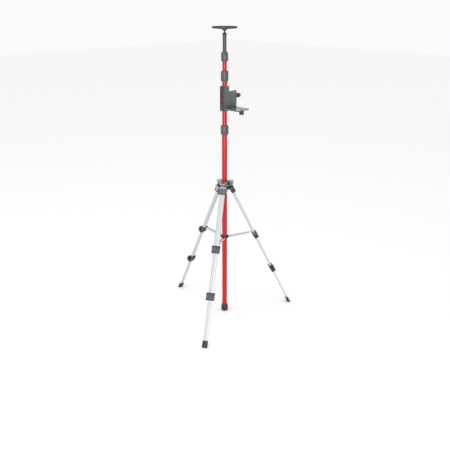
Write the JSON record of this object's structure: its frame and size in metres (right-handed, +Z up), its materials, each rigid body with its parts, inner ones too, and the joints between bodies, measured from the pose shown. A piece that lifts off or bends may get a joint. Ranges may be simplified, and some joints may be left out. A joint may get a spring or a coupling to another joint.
{
  "type": "laser level pole on tripod",
  "caption": "Telescopic floor-to-ceiling pole with twist collars, ceiling pad and clamped shelf with a laser screw, held upright by a small folding stand with flip-lock legs.",
  "frame": {"origin": "centre of the pole foot's underside, on the floor", "axes": "+Z up the pole, +X the way the laser shelf reaches out, +Y the way the clamp wing reaches; legs at 60, 180 and 300 degrees from +X"},
  "size_m": [0.621, 0.717, 1.5675],
  "materials": {
    "red_tube": "gloss anodised or lacquered tube",
    "rod_grey": "dark anodised",
    "collar_grey": "moulded, fluted",
    "black_plastic": "moulded",
    "dark_plastic": "moulded",
    "bracket_grey": "satin paint on die casting",
    "head_grey": "satin moulded",
    "leg_silver": "satin anodised",
    "brace_silver": "rolled sheet",
    "rubber": "matt",
    "steel": "bright",
    "nylon": "natural nylon"
  },
  "bodies": {
    "stand_head": {"head_casting": "head_grey", "head_bush": "nylon", "leg_pins": "steel"},
    "head_knob": {"head_lock_knob": "black_plastic"},
    "pole_1": {"pole_foot": "rubber", "pole_tube_1": "red_tube", "collet_1": "nylon"},
    "pole_2": {"pole_tube_2": "red_tube", "bushes_2": "nylon"},
    "pole_3": {"pole_tube_3": "red_tube", "bushes_3": "nylon"},
    "pole_4": {"pole_tube_4": "rod_grey", "bush_4": "nylon", "top_cap": "dark_plastic"},
    "twist_1": {"collar_1": "collar_grey"},
    "twist_2": {"collar_2": "collar_grey"},
    "twist_3": {"collar_3": "collar_grey"},
    "pad_post": {"ball_stud": "dark_plastic"},
    "pad": {"pad_plate": "dark_plastic", "pad_rubber": "rubber"},
    "liner": {"bracket_liner": "nylon"},
    "bracket": {"bracket_body": "bracket_grey", "bracket_cover": "bracket_grey", "shelf_plate": "bracket_grey", "bracket_screws": "steel"},
    "side_knob": {"clamp_knob": "black_plastic"},
    "shoe": {"clamp_shoe": "nylon"},
    "screw_knob": {"shelf_knob": "dark_plastic"},
    "hub": {"brace_hub": "black_plastic", "brace_pins": "steel"},
    "leg_a": {"leg_top_a": "head_grey", "upper_leg_a": "leg_silver", "lock_upper_a": "dark_plastic"},
    "mid_a": {"mid_leg_a": "leg_silver", "lock_lower_a": "dark_plastic"},
    "low_a": {"lower_leg_a": "leg_silver", "leg_foot_a": "rubber"},
    "flip_upper_a": {"lever_upper_a": "dark_plastic"},
    "flip_lower_a": {"lever_lower_a": "dark_plastic"},
    "strut_a": {"brace_a": "brace_silver"},
    "leg_b": {"leg_top_b": "head_grey", "upper_leg_b": "leg_silver", "lock_upper_b": "dark_plastic"},
    "mid_b": {"mid_leg_b": "leg_silver", "lock_lower_b": "dark_plastic"},
    "low_b": {"lower_leg_b": "leg_silver", "leg_foot_b": "rubber"},
    "flip_upper_b": {"lever_upper_b": "dark_plastic"},
    "flip_lower_b": {"lever_lower_b": "dark_plastic"},
    "strut_b": {"brace_b": "brace_silver"},
    "leg_c": {"leg_top_c": "head_grey", "upper_leg_c": "leg_silver", "lock_upper_c": "dark_plastic"},
    "mid_c": {"mid_leg_c": "leg_silver", "lock_lower_c": "dark_plastic"},
    "low_c": {"lower_leg_c": "leg_silver", "leg_foot_c": "rubber"},
    "flip_upper_c": {"lever_upper_c": "dark_plastic"},
    "flip_lower_c": {"lever_lower_c": "dark_plastic"},
    "strut_c": {"brace_c": "brace_silver"}
  },
  "joints": [
    {"name": "head_knob_turn", "type": "hinge", "parent": "stand_head", "child": "head_knob", "pos_m": [0.035, 0, 0.784], "axis": [1, 0, 0], "range_deg": [-180, 180]},
    {"name": "pole_slide", "type": "slide", "parent": "stand_head", "child": "pole_1", "axis": [0, 0, 1], "range_m": [-0.2, 0.2]},
    {"name": "section2_slide", "type": "slide", "parent": "pole_1", "child": "pole_2", "axis": [0, 0, 1], "range_m": [-0.034, 0.57]},
    {"name": "section3_slide", "type": "slide", "parent": "pole_2", "child": "pole_3", "axis": [0, 0, 1], "range_m": [-0.04, 0.69]},
    {"name": "section4_slide", "type": "slide", "parent": "pole_3", "child": "pole_4", "axis": [0, 0, 1], "range_m": [-0.078, 0.68]},
    {"name": "collar1_twist", "type": "hinge", "parent": "pole_1", "child": "twist_1", "pos_m": [0, 0, 1.064], "axis": [0, 0, 1], "range_deg": [0, 120]},
    {"name": "collar2_twist", "type": "hinge", "parent": "pole_2", "child": "twist_2", "pos_m": [0, 0, 1.335], "axis": [0, 0, 1], "range_deg": [0, 120]},
    {"name": "collar3_twist", "type": "hinge", "parent": "pole_3", "child": "twist_3", "pos_m": [0, 0, 1.427], "axis": [0, 0, 1], "range_deg": [0, 120]},
    {"name": "pad_spin", "type": "hinge", "parent": "pole_4", "child": "pad_post", "pos_m": [0, 0, 1.552], "axis": [0, 0, 1], "continuous": true},
    {"name": "pad_tilt", "type": "hinge", "parent": "pad_post", "child": "pad", "pos_m": [0, 0, 1.552], "axis": [1, 0, 0], "range_deg": [-15, 15]},
    {"name": "bracket_slide", "type": "slide", "parent": "pole_2", "child": "liner", "axis": [0, 0, 1], "range_m": [-0.034, 0.018]},
    {"name": "bracket_turn", "type": "hinge", "parent": "liner", "child": "bracket", "pos_m": [0, 0, 1.224], "axis": [0, 0, 1], "range_deg": [-180, 180]},
    {"name": "clamp_turn", "type": "hinge", "parent": "bracket", "child": "side_knob", "pos_m": [0, 0.095, 1.23], "axis": [0, 1, 0], "range_deg": [0, 720]},
    {"name": "shoe_slide", "type": "slide", "parent": "bracket", "child": "shoe", "axis": [0, 1, 0], "range_m": [0, 0.003]},
    {"name": "laser_screw_turn", "type": "hinge", "parent": "bracket", "child": "screw_knob", "pos_m": [0.093, 0.027, 1.16], "axis": [0, 0, 1], "continuous": true},
    {"name": "leg_a_fold", "type": "hinge", "parent": "stand_head", "child": "leg_a", "pos_m": [0.017, 0.02944, 0.7517], "axis": [-0.866, 0.5, 0], "range_deg": [0, 18.26]},
    {"name": "leg_a_mid_slide", "type": "slide", "parent": "leg_a", "child": "mid_a", "axis": [0.2173, 0.3764, -0.9006], "range_m": [-0.205, 0]},
    {"name": "leg_a_low_slide", "type": "slide", "parent": "mid_a", "child": "low_a", "axis": [0.2173, 0.3764, -0.9006], "range_m": [-0.205, 0]},
    {"name": "lever_upper_a_flip", "type": "hinge", "parent": "leg_a", "child": "flip_upper_a", "pos_m": [0.1062, 0.14995, 0.46716], "axis": [0.2173, 0.3764, -0.9006], "range_deg": [0, 100]},
    {"name": "lever_lower_a_flip", "type": "hinge", "parent": "mid_a", "child": "flip_lower_a", "pos_m": [0.1602, 0.24348, 0.24336], "axis": [0.2173, 0.3764, -0.9006], "range_deg": [0, 100]},
    {"name": "leg_b_fold", "type": "hinge", "parent": "stand_head", "child": "leg_b", "pos_m": [-0.034, 0, 0.7517], "axis": [0, -1, 0], "range_deg": [0, 18.26]},
    {"name": "leg_b_mid_slide", "type": "slide", "parent": "leg_b", "child": "mid_b", "axis": [-0.4346, 0, -0.9006], "range_m": [-0.205, 0]},
    {"name": "leg_b_low_slide", "type": "slide", "parent": "mid_b", "child": "low_b", "axis": [-0.4346, 0, -0.9006], "range_m": [-0.205, 0]},
    {"name": "lever_upper_b_flip", "type": "hinge", "parent": "leg_b", "child": "flip_upper_b", "pos_m": [-0.18296, 0.017, 0.46716], "axis": [-0.4346, 0, -0.9006], "range_deg": [0, 100]},
    {"name": "lever_lower_b_flip", "type": "hinge", "parent": "mid_b", "child": "flip_lower_b", "pos_m": [-0.29096, 0.017, 0.24336], "axis": [-0.4346, 0, -0.9006], "range_deg": [0, 100]},
    {"name": "leg_c_fold", "type": "hinge", "parent": "stand_head", "child": "leg_c", "pos_m": [0.017, -0.02944, 0.7517], "axis": [0.866, 0.5, 0], "range_deg": [0, 18.26]},
    {"name": "leg_c_mid_slide", "type": "slide", "parent": "leg_c", "child": "mid_c", "axis": [0.2173, -0.3764, -0.9006], "range_m": [-0.205, 0]},
    {"name": "leg_c_low_slide", "type": "slide", "parent": "mid_c", "child": "low_c", "axis": [0.2173, -0.3764, -0.9006], "range_m": [-0.205, 0]},
    {"name": "lever_upper_c_flip", "type": "hinge", "parent": "leg_c", "child": "flip_upper_c", "pos_m": [0.07676, -0.16695, 0.46716], "axis": [0.2173, -0.3764, -0.9006], "range_deg": [0, 100]},
    {"name": "lever_lower_c_flip", "type": "hinge", "parent": "mid_c", "child": "flip_lower_c", "pos_m": [0.13076, -0.26048, 0.24336], "axis": [0.2173, -0.3764, -0.9006], "range_deg": [0, 100]},
    {"name": "hub_slide", "type": "slide", "parent": "stand_head", "child": "hub", "axis": [0, 0, -1], "range_m": [0, 0.12472]},
    {"name": "brace_a_fold", "type": "hinge", "parent": "hub", "child": "strut_a", "pos_m": [0.0125, 0.02165, 0.4655], "axis": [0.866, -0.5, 0], "range_deg": [0, 72.13]},
    {"name": "brace_b_fold", "type": "hinge", "parent": "hub", "child": "strut_b", "pos_m": [-0.025, 0, 0.4655], "axis": [0, 1, 0], "range_deg": [0, 72.13]},
    {"name": "brace_c_fold", "type": "hinge", "parent": "hub", "child": "strut_c", "pos_m": [0.0125, -0.02165, 0.4655], "axis": [-0.866, -0.5, 0], "range_deg": [0, 72.13]}
  ],
  "couplings": [
    {"joint": "shoe_slide", "follows": "clamp_turn", "m_per_rad": 0.00023873},
    {"joint": "leg_b_fold", "follows": "leg_a_fold", "ratio": 1},
    {"joint": "leg_c_fold", "follows": "leg_a_fold", "ratio": 1},
    {"joint": "hub_slide", "follows": "leg_a_fold", "m_per_rad": 0.38977},
    {"joint": "brace_a_fold", "follows": "leg_a_fold", "ratio": 3.9475},
    {"joint": "brace_b_fold", "follows": "leg_a_fold", "ratio": 3.9475},
    {"joint": "brace_c_fold", "follows": "leg_a_fold", "ratio": 3.9475}
  ]
}
